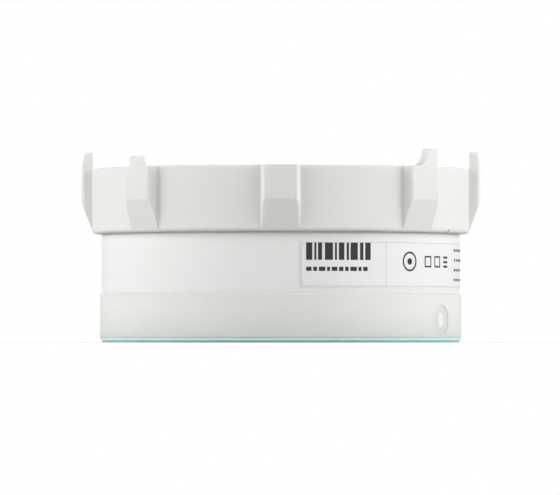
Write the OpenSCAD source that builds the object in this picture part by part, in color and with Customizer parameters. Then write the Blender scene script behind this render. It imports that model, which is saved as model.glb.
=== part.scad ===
// Radar level sensor for plastic tanks.
// A low round housing stands on an adhesive pad. A twist-off cap with strap lugs closes it,
// and the radar, the radio and two lithium cells sit inside.
// Origin: centre of the underside. +Z is up, and the front faces -Y.

/* [Housing] */
// Outer radius of the housing body
body_r = 44.1; // [43.6:0.1:48]
// Height of the housing body that shows between base ring and cap
body_h = 14.6; // [14:0.1:20]
// Wall of the housing body
body_wall = 2.6; // [2:0.1:3]
// Thickness of the shoulder that carries the neck
shoulder_t = 2.2; // [1.6:0.1:3]
// How far the neck stands in from the body's outside
neck_step = 2.1; // [1.8:0.1:2.4]
// Wall of the neck at its top
neck_wall = 2.2; // [1.8:0.1:2.4]
// Width of the seat inside the neck that carries the tray
tray_seat_w = 1.4; // [1:0.1:1.8]
// Depth of the tray's seat below the top of the neck
tray_seat_drop = 3.5; // [2.8:0.1:5]

/* [Base] */
// How far the base ring stands out past the housing body
base_step = 0.4; // [0.2:0.1:1]
// Height of the base ring
base_h = 10.7; // [10:0.1:14]
// Thickness of the radome floor
floor_t = 2; // [1.5:0.1:2.6]
// Outer wall of the base ring
base_wall = 2.2; // [1.8:0.1:2.4]
// Wall of the spigot that stands inside the housing body
spigot_wall = 2.2; // [2:0.1:2.6]
// Height of the spigot above the base ring
spigot_h = 3.5; // [3:0.1:5]
// Section diameter of the O-ring on the spigot
base_seal_d = 1.4; // [1:0.1:1.6]

/* [Adhesive underside] */
// Thickness of the release liner
liner_t = 0.5; // [0.2:0.1:1]
// Thickness of the foam adhesive pad
pad_t = 0.7; // [0.5:0.1:1.5]
// How far the pad stands in from the outside of the base ring
pad_inset = 0.1; // [0:0.1:4]
// How far the liner stands in from the pad's edge
liner_inset = 0.4; // [0:0.1:0.6]
// Radius of the clear window in the pad
pad_window_r = 27; // [22:0.5:32]

/* [Closing cap] */
// How far the cap's ring stands out past the housing body
cap_overhang = 2.3; // [2:0.1:3.5]
// Height of the cap without its tabs
cap_h = 15.9; // [15.5:0.1:20]
// Thickness of the cap's top
cap_top_t = 2.2; // [1.8:0.1:2.6]
// Gap between the shoulder and the cap's lower edge
cap_gap = 0.2; // [0.2:0.1:1]
// Space between neck and cap that the thread fills
thread_space = 1.4; // [1:0.1:1.6]
// Rounding of the cap's lower edge
cap_low_round = 1; // [0.5:0.1:1.2]
// Rounding of the cap's top edge
cap_top_round = 0.5; // [0.3:0.1:1]
// Thickness of the gasket in the cap
seal_t = 1.6; // [1.2:0.1:2]
// Width of the gasket in the cap
seal_w = 1.8; // [1.4:0.1:1.8]

/* [Lugs] */
// Number of lugs round the cap
lug_count = 8; // [8]
// How far the lugs stand out of the ring
lug_depth = 2.6; // [2:0.1:4]
// Width of a short lug, across its outer end
lug_w = 8.7; // [7:0.1:9]
// How far each drafted side spreads towards the ring
lug_spread = 0.2; // [0.1:0.1:0.6]
// Fillet between a lug's sides and the ring
lug_fillet = 0.5; // [0.3:0.1:0.8]
// Height of the chamfer below each lug
lug_chamfer_h = 6.8; // [4:0.1:9]
// Rounding of a lug's upright edges
lug_round = 1; // [0.6:0.1:1.2]
// Height of the tabs above the cap's top
tab_h = 4.2; // [3:0.1:6]
// Distance of a tall lug's straight strap face from the lug's middle
tab_strap_u = 5.3; // [4.8:0.1:5.6]
// Distance from the lug's middle at which a tab's ramp starts
tab_ramp_u = 2.4; // [1.6:0.1:3.2]
// How far a tab's outer face leans in at the top
tab_lean = 0.5; // [0.3:0.1:1]
// Rounding of a tab's top corners
tab_round = 0.7; // [0.3:0.1:0.8]

/* [Type label] */
// Lower edge of the label above the base ring
label_rise = 1.4; // [0.8:0.1:2]
// Height of the label
label_h = 11.1; // [8:0.1:11.5]
// Thickness of the label
label_t = 0.15; // [0.1:0.05:0.3]
// Where the label starts, in degrees from the front
label_start = 6; // [0:1:20]
// How far round the body the label reaches, in degrees
label_span = 110; // [60:5:150]

/* [Vent] */
// Direction of the vent, in degrees from the front
vent_angle = 62; // [55:1:70]
// Height of the vent's middle above the bottom of the base ring
vent_rise = 4.3; // [4.1:0.1:5]
// Radius of the vent's pocket
vent_pocket_r = 3.5; // [3.2:0.1:3.8]
// Radius of the vent's stem
vent_stem_r = 1.9; // [1.7:0.1:2.1]
// Radius of the breathing bore through the vent
vent_bore_r = 1; // [0.6:0.1:1.2]

/* [Radar] */
// Radius of the lens
lens_r = 18; // [15:0.5:19]
// Height of the lens's dome
lens_dome_h = 4.2; // [3:0.1:4.5]
// Thickness of the lens's rim
lens_rim_t = 1.5; // [1:0.1:2]
// Wall of the antenna horn
horn_wall = 1.2; // [0.8:0.1:1.6]
// Radius of the horn's throat
throat_r = 4.2; // [4:0.1:6]
// Side of the square radar chip
chip_side = 5; // [4:0.1:5.4]
// Height of the shield can
can_h = 2; // [1.5:0.1:2.4]

/* [Boards] */
// Thickness of both circuit boards
board_t = 1.4; // [1:0.1:1.6]
// Gap between the two boards
board_space = 3.2; // [3:0.1:4]
// Distance of the board posts from the board's edge
post_inset = 3.5; // [3.2:0.1:5]
// Direction of the first board post, in degrees from +X
post_angle = 30; // [26:1:34]
// Height of the radio module
radio_h = 2.4; // [1.5:0.1:4]
// Side of the square patch antenna
patch_side = 13; // [10:0.5:14]
// Height of the patch antenna
patch_h = 4; // [2:0.5:6]
// Radius of the pulse capacitor
capacitor_r = 3.5; // [2.5:0.1:4]
// Length of the pulse capacitor
capacitor_l = 11; // [8:0.5:11.5]

/* [Battery] */
// Radius of a cell
cell_r = 8.7; // [8.2:0.1:8.7]
// Length of a cell's can
cell_l = 49; // [44:0.5:50]
// Height of a cell's positive cap
cell_nub_h = 1; // [0.8:0.1:1.4]
// Gap between the cells and the cap above them
cell_headroom = 1.5; // [1.2:0.1:1.6]
// Wall and floor of the battery well
well_wall = 1.2; // [0.8:0.1:1.4]
// Thickness of the tray's deck
deck_t = 1.5; // [1.2:0.1:2]
// Space for a folded leaf spring behind a cell
spring_space = 4.6; // [4:0.1:5]
// Thickness of the contacts' sheet
contact_t = 0.4; // [0.3:0.1:0.5]

/* [Hidden] */
$fn = 96;

// Clearances
slip = 0.2;         // between pieces that slide together
fit = 0.3;          // round pieces that stand free in a recess
seal_gap = 0.15;    // above and below the gasket
touch = 0.05;       // pieces laid on a curved wall or pressed into a pocket
over = 1;           // how far a cutting shape runs past what it cuts

// Heights, from the underside up
base_z = liner_t + pad_t;
floor_z = base_z + floor_t;
body_z = base_z + base_h;
shoulder_z = body_z + body_h;
cap_z = shoulder_z + cap_gap;
cap_top_z = cap_z + cap_h;
tab_top_z = cap_top_z + tab_h;
cap_under_z = cap_top_z - cap_top_t;
seal_z = cap_under_z - seal_gap - seal_t;
neck_top_z = seal_z - seal_gap;
tray_z = neck_top_z - tray_seat_drop;
deck_z = tray_z + deck_t;

// Radii, from the outside in
base_r = body_r + base_step;
pad_r = base_r - pad_inset;
liner_r = pad_r - liner_inset;
cap_r = body_r + cap_overhang;
lug_r = cap_r + lug_depth;
neck_r = body_r - neck_step;
cap_in_r = neck_r + thread_space;
tray_bore_r = neck_r - neck_wall;
neck_in_r = tray_bore_r - tray_seat_w;
body_in_r = body_r - body_wall;
spigot_r = body_in_r - slip;
spigot_in_r = spigot_r - spigot_wall;
tray_r = tray_bore_r - fit;
board_rim_gap = 1.8;
board_r = spigot_in_r - board_rim_gap;
post_r = board_r - post_inset;

// Small roundings of the mouldings' edges
edge_round = 0.4;
foot_round = 0.2;

// Gasket and its groove in the cap
seal_mid_r = neck_r - neck_wall / 2;
seal_bead_r = 0.5;
groove_depth = 1.2;
groove_half = seal_w / 2 + slip;
groove_lip = 1;

// Cells, well and board stack, from the cap down
cell_z = cap_under_z - cell_headroom - cell_r;
cell_gap = 1;
cell_y = cell_r + cell_gap / 2;
cell_slack = 0.1;
contact_gap = 0.05;
nub_r = 2.6;
well_l = cell_l + cell_nub_h + contact_t + spring_space + contact_gap;
well_w = 4 * cell_r + cell_gap + 2 * slip;
well_z = cell_z - cell_r - cell_slack - well_wall;
head_h = 1;
main_board_z = well_z - slip - head_h - board_t;
radar_board_z = main_board_z - board_space - board_t;
horn_top_z = radar_board_z - fit;

// Fasteners
stud_r = 1.2;
screw_r = 0.9;
thread_slack = 0.05;
screw_head_r = 2;
drive_r = 0.8;
drive_depth = 0.5;
boss_r = 2.6;
boss_h = 9;
boss_inset = 2.2;
boss_ring_r = neck_in_r - boss_inset;
boss_angle = 62;
tray_screw_l = 7;
board_screw_l = 2.2;
hole_spare = 0.5;
stud_wall = 1.8;
stud_l = 5;
spacer_r = 2.5;

// Vent, measured along its own axis from the middle of the housing
vent_z = base_z + vent_rise;
vent_pocket_depth = 0.9;
vent_face = base_r - vent_pocket_depth;
vent_flange_t = 0.7;
vent_seal_r = 0.35;
vent_lip_t = 0.8;
vent_window_r = vent_bore_r + 0.8;
vent_window_depth = 0.3;
membrane_t = 0.2;

// Lens and horn
lens_rim_w = 1;
lens_rim_r = lens_r + lens_rim_w;
horn_flange_r = lens_rim_r + 5;
horn_flange_t = 1.8;
chip_t = 0.9;

// Parts on the boards, as length, width and the gaps that set their places
can_l = 26;
can_w = 20;
can_t = 0.3;
connector_l = 14;
connector_w = 5;
connector_gap = 3;
processor_side = 8;
processor_x = 10;
radio_l = 16;
radio_w = 13;
part_gap = 1.5;
capacitor_gap = 2.5;
patch_gap = 1;
feed_r = 0.8;
feed_h = 0.3;

// The strap passes between two lugs, half a lug step to either side of it
lug_step = 360 / lug_count;
strap_angle = 1.5 * lug_step;
lug_root = 1.4;
root_r = cap_r - lug_root;
fillet_bite = 0.03;
lug_foot_z = cap_z + cap_low_round;
chamfer_top_z = lug_foot_z + lug_chamfer_h;
ramp_dip = 0.15;
notch_w = 0.9;
notch_h = 0.8;

housing_white = [0.93, 0.93, 0.92];
base_green = [0.84, 0.87, 0.84];
liner_teal = [0.2, 0.66, 0.74];
board_green = [0.1, 0.36, 0.2];
tray_grey = [0.3, 0.31, 0.33];
steel = [0.75, 0.76, 0.78];
black = [0.1, 0.1, 0.11];

// ---- Shared shapes ----

// What lies outside a rounded corner whose centre is the origin
module corner(r) {
    difference() {
        square(r + over);
        circle(r, $fn = 48);
    }
}

// Children turned to a direction, counted in degrees from the front towards +X
module at_angle(a) {
    rotate([0, 0, a]) children();
}

// Children turned so that their +Z points outwards along the vent
module at_vent() {
    at_angle(vent_angle) translate([0, 0, vent_z]) rotate([90, 0, 0]) children();
}

// Children at each of the four board posts
module at_posts() {
    for (a = [post_angle, 180 - post_angle, 180 + post_angle, -post_angle]) {
        rotate([0, 0, a]) translate([post_r, 0, 0]) children();
    }
}

// Children at each of the four tray bosses
module at_bosses() {
    for (a = [boss_angle, 180 - boss_angle, 180 + boss_angle, -boss_angle]) {
        rotate([0, 0, a]) translate([boss_ring_r, 0, 0]) children();
    }
}

// Extrude an outline of radius and height across the front of a lug
module across_lug(width) {
    rotate([90, 0, -90]) linear_extrude(width, center = true) children();
}

// Extrude an outline of width and height outwards through a lug
module through_lug(length) {
    rotate([90, 0, 0]) linear_extrude(length) children();
}

// A flat strip of sheet that follows a list of points
module strip(points, t) {
    for (i = [0 : len(points) - 2]) {
        step = points[i + 1] - points[i];
        translate(points[i]) {
            circle(d = t, $fn = 24);
            rotate(atan2(step[1], step[0])) translate([0, -t / 2]) square([norm(step), t]);
        }
    }
    translate(points[len(points) - 1]) circle(d = t, $fn = 24);
}

// A screw with its head on z = 0 and its shaft below
module screw(shaft_r, length) {
    difference() {
        union() {
            cylinder(r = screw_head_r, h = head_h);
            translate([0, 0, -length]) cylinder(r = shaft_r, h = length);
        }
        translate([0, 0, head_h - drive_depth]) cylinder(r = drive_r, h = over, $fn = 6);
    }
}

// ---- Adhesive underside ----

module release_liner() {
    color(liner_teal) difference() {
        cylinder(r = liner_r, h = liner_t);
        translate([0, 0, -over]) cylinder(r = pad_window_r, h = liner_t + 2 * over);
    }
}

module adhesive_pad() {
    color([0.9, 0.92, 0.9]) translate([0, 0, liner_t]) difference() {
        cylinder(r = pad_r, h = pad_t);
        translate([0, 0, -over]) cylinder(r = pad_window_r, h = pad_t + 2 * over);
    }
}

// ---- Base ----

// Half section of the base: radome floor, outer wall, and spigot with its O-ring groove
module base_section() {
    difference() {
        translate([0, base_z]) square([base_r, base_h]);
        translate([0, floor_z]) square([base_r - base_wall, base_h]);
        translate([base_r - foot_round, base_z + foot_round]) mirror([0, 1]) corner(foot_round);
        translate([base_r - edge_round, body_z - edge_round]) corner(edge_round);
    }
    difference() {
        translate([spigot_in_r, base_z]) square([spigot_wall, base_h + spigot_h]);
        translate([spigot_r - base_seal_d + slip / 2, body_z + spigot_h / 2 - base_seal_d / 2 - touch])
            square([base_seal_d, base_seal_d + 2 * touch]);
    }
}

module base_shell() {
    color(base_green) difference() {
        union() {
            rotate_extrude() base_section();
            at_posts() translate([0, 0, base_z + floor_t / 2])
                cylinder(r = stud_r + stud_wall, h = radar_board_z - base_z - floor_t / 2);
        }
        at_posts() translate([0, 0, radar_board_z - stud_l - over])
            cylinder(r = stud_r + thread_slack, h = stud_l + 2 * over);
        at_vent() {
            translate([0, 0, vent_face]) cylinder(r = vent_pocket_r, h = vent_pocket_depth + over);
            translate([0, 0, vent_face - 2 * vent_seal_r - touch])
                cylinder(r = vent_stem_r + 2 * vent_seal_r + slip, h = over);
            translate([0, 0, spigot_in_r - 2]) cylinder(r = vent_stem_r + thread_slack, h = base_r);
        }
    }
}

module base_seal() {
    color(black) rotate_extrude()
        translate([spigot_r - base_seal_d / 2 + slip / 2, body_z + spigot_h / 2]) circle(d = base_seal_d);
}

// ---- Vent ----

module vent_plug() {
    color([0.88, 0.9, 0.88]) at_vent() difference() {
        union() {
            translate([0, 0, vent_face]) cylinder(r = vent_pocket_r - touch, h = vent_flange_t);
            translate([0, 0, spigot_in_r - vent_lip_t])
                cylinder(r = vent_stem_r, h = vent_face - spigot_in_r + vent_lip_t);
        }
        translate([0, 0, spigot_in_r - vent_lip_t - over]) cylinder(r = vent_bore_r, h = base_r);
        translate([0, 0, vent_face + vent_flange_t - vent_window_depth])
            cylinder(r = vent_window_r, h = over);
    }
}

module vent_membrane() {
    color("white") at_vent() translate([0, 0, vent_face + vent_flange_t - vent_window_depth])
        cylinder(r = vent_window_r - touch, h = membrane_t);
}

module vent_seal() {
    color(black) at_vent() translate([0, 0, vent_face - vent_seal_r - touch / 2]) rotate_extrude()
        translate([vent_stem_r + vent_seal_r + slip / 2, 0]) circle(vent_seal_r, $fn = 24);
}

// ---- Housing body ----

// Half section of the body: wall, shoulder, and neck with the tray's seat
module body_section() {
    difference() {
        translate([neck_in_r, body_z]) square([body_r - neck_in_r, body_h]);
        translate([0, body_z]) square([body_in_r, body_h - shoulder_t]);
        translate([body_r - edge_round, shoulder_z - edge_round]) corner(edge_round);
    }
    difference() {
        translate([neck_in_r, shoulder_z - shoulder_t])
            square([neck_r - neck_in_r, neck_top_z - shoulder_z + shoulder_t]);
        translate([0, tray_z]) square([tray_bore_r, neck_top_z]);
        translate([neck_r - edge_round, neck_top_z - edge_round]) corner(edge_round);
    }
}

module housing_body() {
    color(housing_white) difference() {
        union() {
            rotate_extrude() body_section();
            at_bosses() translate([0, 0, tray_z - boss_h]) cylinder(r = boss_r, h = boss_h);
        }
        at_bosses() translate([0, 0, tray_z - tray_screw_l - hole_spare])
            cylinder(r = screw_r + thread_slack, h = tray_screw_l + over);
        translate([0, 0, tray_z]) cylinder(r = tray_bore_r, h = neck_top_z);
    }
}

module type_label() {
    color([0.95, 0.95, 0.94]) at_angle(label_start - 90) rotate_extrude(angle = label_span)
        translate([body_r, body_z + label_rise]) square([label_t, label_h]);
}

// ---- Radar ----

module radar_lens() {
    sphere_r = (lens_r * lens_r + lens_dome_h * lens_dome_h) / (2 * lens_dome_h);
    color([0.92, 0.9, 0.85]) translate([0, 0, floor_z]) {
        cylinder(r = lens_rim_r, h = lens_rim_t);
        intersection() {
            translate([0, 0, lens_rim_t + lens_dome_h - sphere_r]) sphere(sphere_r);
            cylinder(r = lens_r, h = lens_rim_t + lens_dome_h + over);
        }
    }
}

// A funnel: a flange on the floor, a pocket that traps the lens's rim, and a cone up to the throat
module antenna_horn() {
    pocket_z = floor_z + lens_rim_t + seal_gap;
    color(steel) rotate_extrude() polygon([
        [lens_rim_r + fit, floor_z],
        [horn_flange_r, floor_z],
        [horn_flange_r, floor_z + horn_flange_t],
        [lens_rim_r + 2 * horn_wall, floor_z + horn_flange_t],
        [throat_r + horn_wall, horn_top_z],
        [throat_r, horn_top_z],
        [lens_r + fit, pocket_z + 0.3],
        [lens_r + fit, pocket_z],
        [lens_rim_r + fit, pocket_z]]);
}

// A round board with a clearance hole at each post
module board(z, hole_r) {
    color(board_green) translate([0, 0, z]) difference() {
        cylinder(r = board_r, h = board_t);
        at_posts() translate([0, 0, -over]) cylinder(r = hole_r, h = board_t + 2 * over);
    }
}

module radar_board() {
    board(radar_board_z, stud_r + 0.1);
}

module radar_chip() {
    color(black) translate([-chip_side / 2, -chip_side / 2, radar_board_z - chip_t])
        cube([chip_side, chip_side, chip_t]);
}

module shield_can() {
    color(steel) translate([0, 0, radar_board_z + board_t]) difference() {
        translate([-can_l / 2, -can_w / 2, 0]) cube([can_l, can_w, can_h]);
        translate([-can_l / 2 + can_t, -can_w / 2 + can_t, -over])
            cube([can_l - 2 * can_t, can_w - 2 * can_t, can_h - can_t + over]);
    }
}

// ---- Boards ----

module board_connector() {
    color([0.85, 0.83, 0.76])
        translate([-connector_l / 2, can_w / 2 + connector_gap, radar_board_z + board_t])
        cube([connector_l, connector_w, board_space]);
}

module board_spacers() {
    spacer_z = radar_board_z + board_t;
    color([0.8, 0.68, 0.35]) at_posts() difference() {
        union() {
            translate([0, 0, spacer_z]) cylinder(r = spacer_r, h = board_space, $fn = 6);
            translate([0, 0, spacer_z - stud_l]) cylinder(r = stud_r, h = stud_l);
        }
        translate([0, 0, spacer_z + board_space - board_screw_l - hole_spare])
            cylinder(r = screw_r + thread_slack, h = board_screw_l + hole_spare + over);
    }
}

module main_board() {
    board(main_board_z, screw_r + 0.2);
}

module board_screws() {
    color(steel) at_posts() translate([0, 0, main_board_z + board_t]) screw(screw_r, board_t + board_screw_l);
}

module processor() {
    color(black) translate([-processor_x - processor_side / 2, -processor_side / 2, main_board_z + board_t])
        cube([processor_side, processor_side, head_h]);
}

module radio_module() {
    color(steel)
        translate([-radio_l / 2, -well_w / 2 - well_wall - part_gap - radio_w, main_board_z + board_t])
        cube([radio_l, radio_w, radio_h]);
}

// A can that lies on the board, with its crimp groove near one end
module pulse_capacitor() {
    color([0.2, 0.25, 0.45])
        translate([-radio_l / 2 - part_gap - capacitor_l,
            -well_w / 2 - well_wall - capacitor_gap - capacitor_r,
            main_board_z + board_t + capacitor_r])
        rotate([0, 90, 0]) rotate_extrude() difference() {
            square([capacitor_r, capacitor_l]);
            translate([capacitor_r + 0.2, capacitor_l - 1.6]) circle(0.6, $fn = 24);
        }
}

module gnss_antenna() {
    color([0.78, 0.7, 0.58])
        translate([0, well_w / 2 + well_wall + patch_gap + patch_side / 2, main_board_z + board_t]) {
            translate([-patch_side / 2, -patch_side / 2, 0]) cube([patch_side, patch_side, patch_h]);
            translate([patch_side / 8, 0, patch_h]) cylinder(r = feed_r, h = feed_h);
        }
}

module radio_antenna() {
    antenna_h = 6;
    antenna_t = 0.2;
    color([0.75, 0.5, 0.2]) rotate([0, 0, 190]) rotate_extrude(angle = 70)
        translate([body_in_r - antenna_t - touch, shoulder_z - shoulder_t - antenna_h - 1])
        square([antenna_t, antenna_h]);
}

// ---- Battery ----

// Both cells as plain cylinders, to cut their seats
module cell_space(r) {
    for (side = [-1, 1]) {
        translate([-well_l / 2, side * cell_y, cell_z]) rotate([0, 90, 0]) cylinder(r = r, h = well_l);
    }
}

// Saddles under the cells, and lips that hold them down
module cell_seats() {
    saddle_t = 2;
    lip_l = 8;
    lip_h = 1.4;
    lip_reach = 1.2;
    difference() {
        union() {
            for (x = [-0.3, 0, 0.3]) {
                translate([x * well_l - saddle_t / 2, -well_w / 2, well_z + well_wall / 2])
                    cube([saddle_t, well_w, cell_r * 0.6]);
            }
            for (x = [-0.2, 0.2], side = [-1, 1]) {
                translate([x * well_l, side * (well_w / 2 - lip_reach / 2), deck_z - lip_h / 2])
                    cube([lip_l, lip_reach + 2 * touch, lip_h], center = true);
            }
        }
        cell_space(cell_r + cell_slack);
    }
}

module battery_tray() {
    out_l = well_l + 2 * well_wall;
    out_w = well_w + 2 * well_wall;
    color(tray_grey) union() {
        difference() {
            union() {
                translate([0, 0, tray_z]) cylinder(r = tray_r, h = deck_t);
                translate([-out_l / 2, -out_w / 2, well_z]) cube([out_l, out_w, deck_z - well_z]);
            }
            translate([-well_l / 2, -well_w / 2, well_z + well_wall]) cube([well_l, well_w, deck_z]);
            at_bosses() translate([0, 0, tray_z - over]) cylinder(r = screw_r + slip, h = deck_t + 2 * over);
        }
        cell_seats();
    }
}

module tray_screws() {
    color(steel) at_bosses() translate([0, 0, deck_z]) screw(screw_r, deck_t + tray_screw_l);
}

// A cell along +X, from the leaf spring at its flat end to the plate at its positive cap
module battery_cell() {
    groove_r = 0.7;
    color([0.2, 0.45, 0.3])
        translate([spring_space - well_l / 2, 0, 0]) rotate([0, 90, 0]) rotate_extrude() difference() {
            union() {
                square([cell_r, cell_l]);
                square([nub_r, cell_l + cell_nub_h]);
            }
            translate([cell_r + 0.2, cell_l - 3]) circle(groove_r, $fn = 24);
        }
}

module battery_cell_1() {
    translate([0, -cell_y, cell_z]) battery_cell();
}

module battery_cell_2() {
    translate([0, cell_y, cell_z]) rotate([0, 0, 180]) battery_cell();
}

module plate_contacts() {
    plate_w = 10;
    for (turn = [0, 180]) {
        color(steel) rotate([0, 0, turn])
            translate([well_l / 2 - contact_t, -cell_y - plate_w / 2, well_z + well_wall])
            cube([contact_t, plate_w, cell_r + 5]);
    }
}

// A leaf folded from one strip: up the wall, over, and down to press on the cell
module spring_contacts() {
    leaf_w = 7;
    foot = well_z + well_wall + contact_t / 2;
    top = cell_z + 5;
    press = spring_space - contact_t / 2 - touch;
    for (turn = [0, 180]) {
        color(steel) rotate([0, 0, turn]) translate([-well_l / 2, -cell_y + leaf_w / 2, 0]) rotate([90, 0, 0])
            linear_extrude(leaf_w) strip([
                [contact_t / 2, foot],
                [contact_t / 2, top],
                [contact_t * 2, top + contact_t],
                [press, cell_z],
                [press / 2, foot + 4]], contact_t);
    }
}

module nfc_coil() {
    coil_l = 26;
    coil_w = 12;
    coil_band = 3;
    coil_t = 0.3;
    color([0.75, 0.45, 0.2])
        translate([-coil_l / 2, well_w / 2 + well_wall + 0.8, deck_z]) difference() {
            cube([coil_l, coil_w, coil_t]);
            translate([coil_band, coil_band, -over])
                cube([coil_l - 2 * coil_band, coil_w - 2 * coil_band, coil_t + 2 * over]);
        }
}

// ---- Closing cap ----

module cap_seal() {
    color([0.2, 0.2, 0.21]) rotate_extrude() {
        translate([seal_mid_r - seal_w / 2, seal_z + seal_bead_r]) square([seal_w, seal_t - seal_bead_r]);
        translate([seal_mid_r, seal_z + seal_bead_r]) circle(seal_bead_r, $fn = 32);
    }
}

// Half section of the cap: rounded ring, top, and the two lips that hold the gasket
module cap_section() {
    difference() {
        translate([0, cap_z]) square([cap_r, cap_h]);
        translate([0, cap_z - over]) square([cap_in_r, cap_under_z - cap_z + over]);
        translate([cap_r - cap_low_round, cap_z + cap_low_round]) mirror([0, 1]) corner(cap_low_round);
        translate([cap_r - cap_top_round, cap_top_z - cap_top_round]) corner(cap_top_round);
    }
    translate([seal_mid_r - groove_half - groove_lip, cap_under_z - groove_depth])
        square([groove_lip, groove_depth + cap_top_t / 2]);
    translate([seal_mid_r + groove_half, cap_under_z - groove_depth])
        square([cap_in_r + 1 - seal_mid_r - groove_half, groove_depth + cap_top_t / 2]);
}

// Plan of the right half of a lug, whose flank stands at u and spreads towards the ring.
// Its outer corner is round, and a fillet joins it to the ring.
module lug_half(u, spread) {
    lean = atan(spread / lug_depth);
    inward = [sin(lean), cos(lean)];
    outward = [cos(lean), -sin(lean)];
    round_t = lug_round * tan((90 - lean) / 2);
    start = [u, -lug_r];
    root = start + inward * (lug_depth + lug_root) / cos(lean);
    arm = start + outward * lug_fillet;
    along = arm * inward;
    fillet = arm - inward * (along + sqrt(along * along - arm * arm + pow(cap_r + lug_fillet, 2)));
    inner = fillet - outward * (lug_fillet + over);
    polygon([[0, root[1]], [0, -lug_r], [u - round_t, -lug_r], start + inward * round_t, root]);
    translate([u - round_t, lug_round - lug_r]) circle(lug_round, $fn = 32);
    difference() {
        polygon([inner, fillet, fillet * root_r / (cap_r + lug_fillet), [inner[0], -root_r]]);
        translate(fillet) circle(lug_fillet + fillet_bite, $fn = 32);
    }
}

// Plan of a lug with a drafted flank on its left
module lug_plan(left_u, right_u, right_spread) {
    mirror([1, 0]) lug_half(left_u, lug_spread);
    lug_half(right_u, right_spread);
}

// Side view of a lug, as radius and height: chamfered below, and leaning in above the cap's top
module lug_side(tall) {
    difference() {
        polygon(concat(
            [[root_r, lug_foot_z], [cap_r, lug_foot_z], [lug_r, chamfer_top_z], [lug_r, cap_top_z]],
            tall ? [[lug_r - tab_lean, tab_top_z], [cap_r, tab_top_z], [cap_r, cap_top_z]] : [],
            [[root_r, cap_top_z]]));
        translate([lug_r - tab_lean - tab_round, tab_top_z - tab_round]) corner(tab_round);
    }
}

// Front view of a tall lug: the full width up to the cap's top, then a tab with a concave ramp
module tab_front() {
    ramp_r = tab_h + ramp_dip;
    translate([-2 * lug_w, 0]) square([4 * lug_w, cap_top_z]);
    difference() {
        translate([-tab_ramp_u, cap_top_z - over]) square([tab_ramp_u + tab_strap_u, tab_h + over]);
        translate([-tab_ramp_u, tab_top_z]) circle(ramp_r);
        translate([ramp_r - tab_ramp_u + tab_round, tab_top_z - tab_round]) mirror([1, 0]) corner(tab_round);
        translate([tab_strap_u - tab_round, tab_top_z - tab_round]) corner(tab_round);
    }
}

module short_lug() {
    intersection() {
        translate([0, 0, cap_z]) linear_extrude(cap_h) lug_plan(lug_w / 2, lug_w / 2, lug_spread);
        across_lug(4 * lug_w) lug_side(false);
    }
}

// A tall lug whose straight strap face is on its right
module tall_lug() {
    intersection() {
        translate([0, 0, cap_z]) linear_extrude(cap_h + tab_h) lug_plan(lug_w / 2, tab_strap_u, 0);
        across_lug(4 * lug_w) lug_side(true);
        through_lug(lug_r + over) tab_front();
    }
}

module closing_cap() {
    color(housing_white) difference() {
        union() {
            rotate_extrude() cap_section();
            for (i = [0 : lug_count - 1]) {
                turn = i * lug_step;
                from_strap = (turn - strap_angle + 720) % 180;
                if (from_strap == lug_step / 2) {
                    at_angle(turn) mirror([1, 0, 0]) tall_lug();
                } else if (from_strap == 180 - lug_step / 2) {
                    at_angle(turn) tall_lug();
                } else {
                    at_angle(turn) short_lug();
                }
            }
        }
        at_angle(vent_angle) translate([-notch_w / 2, -cap_r - over, cap_z - over])
            cube([notch_w, over + lug_root, over + notch_h]);
    }
}

release_liner();
adhesive_pad();
base_shell();
base_seal();
vent_plug();
vent_membrane();
vent_seal();
housing_body();
type_label();
radar_lens();
antenna_horn();
radar_board();
radar_chip();
shield_can();
board_connector();
board_spacers();
main_board();
board_screws();
processor();
radio_module();
pulse_capacitor();
gnss_antenna();
radio_antenna();
battery_tray();
tray_screws();
battery_cell_1();
battery_cell_2();
plate_contacts();
spring_contacts();
nfc_coil();
cap_seal();
closing_cap();
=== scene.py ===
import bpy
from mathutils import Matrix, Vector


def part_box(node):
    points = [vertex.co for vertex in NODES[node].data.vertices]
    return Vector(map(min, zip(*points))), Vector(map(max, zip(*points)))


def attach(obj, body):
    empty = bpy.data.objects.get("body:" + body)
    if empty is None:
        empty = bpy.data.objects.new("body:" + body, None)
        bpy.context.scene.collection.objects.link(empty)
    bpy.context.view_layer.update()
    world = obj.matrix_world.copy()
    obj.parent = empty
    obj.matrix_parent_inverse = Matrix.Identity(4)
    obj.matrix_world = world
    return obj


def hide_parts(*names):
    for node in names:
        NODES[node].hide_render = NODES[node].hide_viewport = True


bl_info = {
    "name": "Radar Level Sensor Looks",
    "version": (1, 0, 0),
    "blender": (4, 5, 0),
    "location": "View3D > Sidebar > Radar Sensor",
    "description": "Finishes, type label, threads and board details of a radar level sensor",
    "category": "Object",
}

import math

import bmesh
import bpy
from bpy.props import FloatProperty, FloatVectorProperty, IntProperty, PointerProperty
from bpy.types import Operator, Panel, PropertyGroup
from mathutils import Vector

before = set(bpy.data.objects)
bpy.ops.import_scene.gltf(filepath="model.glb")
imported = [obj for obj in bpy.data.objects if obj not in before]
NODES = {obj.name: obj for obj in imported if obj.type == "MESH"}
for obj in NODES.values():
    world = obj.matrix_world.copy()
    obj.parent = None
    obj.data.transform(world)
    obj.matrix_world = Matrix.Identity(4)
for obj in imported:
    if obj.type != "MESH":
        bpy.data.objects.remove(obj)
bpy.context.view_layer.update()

MM = 0.001
MERGE = 1e-6                   # facet corners closer than this are one point
SLIVER = 0.03 * MM             # a facet thinner than this is left out of a softened copy
LEVEL = math.radians(0.4)      # faces that meet at less than this are one face
SHARP_EDGE = math.radians(28)  # faces that meet at more than this make a sharp edge
CREASE = math.radians(12)      # wide flat faces that meet at more than this make a crease
FACET = math.radians(2.5)      # half of the widest facet of a round wall
WIDE_FACE = 3 * MM * MM        # a face larger than this is a flat or a wall, not part of a rounding
WRAP_STEP = math.radians(1.0)  # how finely pieces that wrap round the housing are cut
RING_CUTS = 48                 # sides of a printed ring or dot
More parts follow.
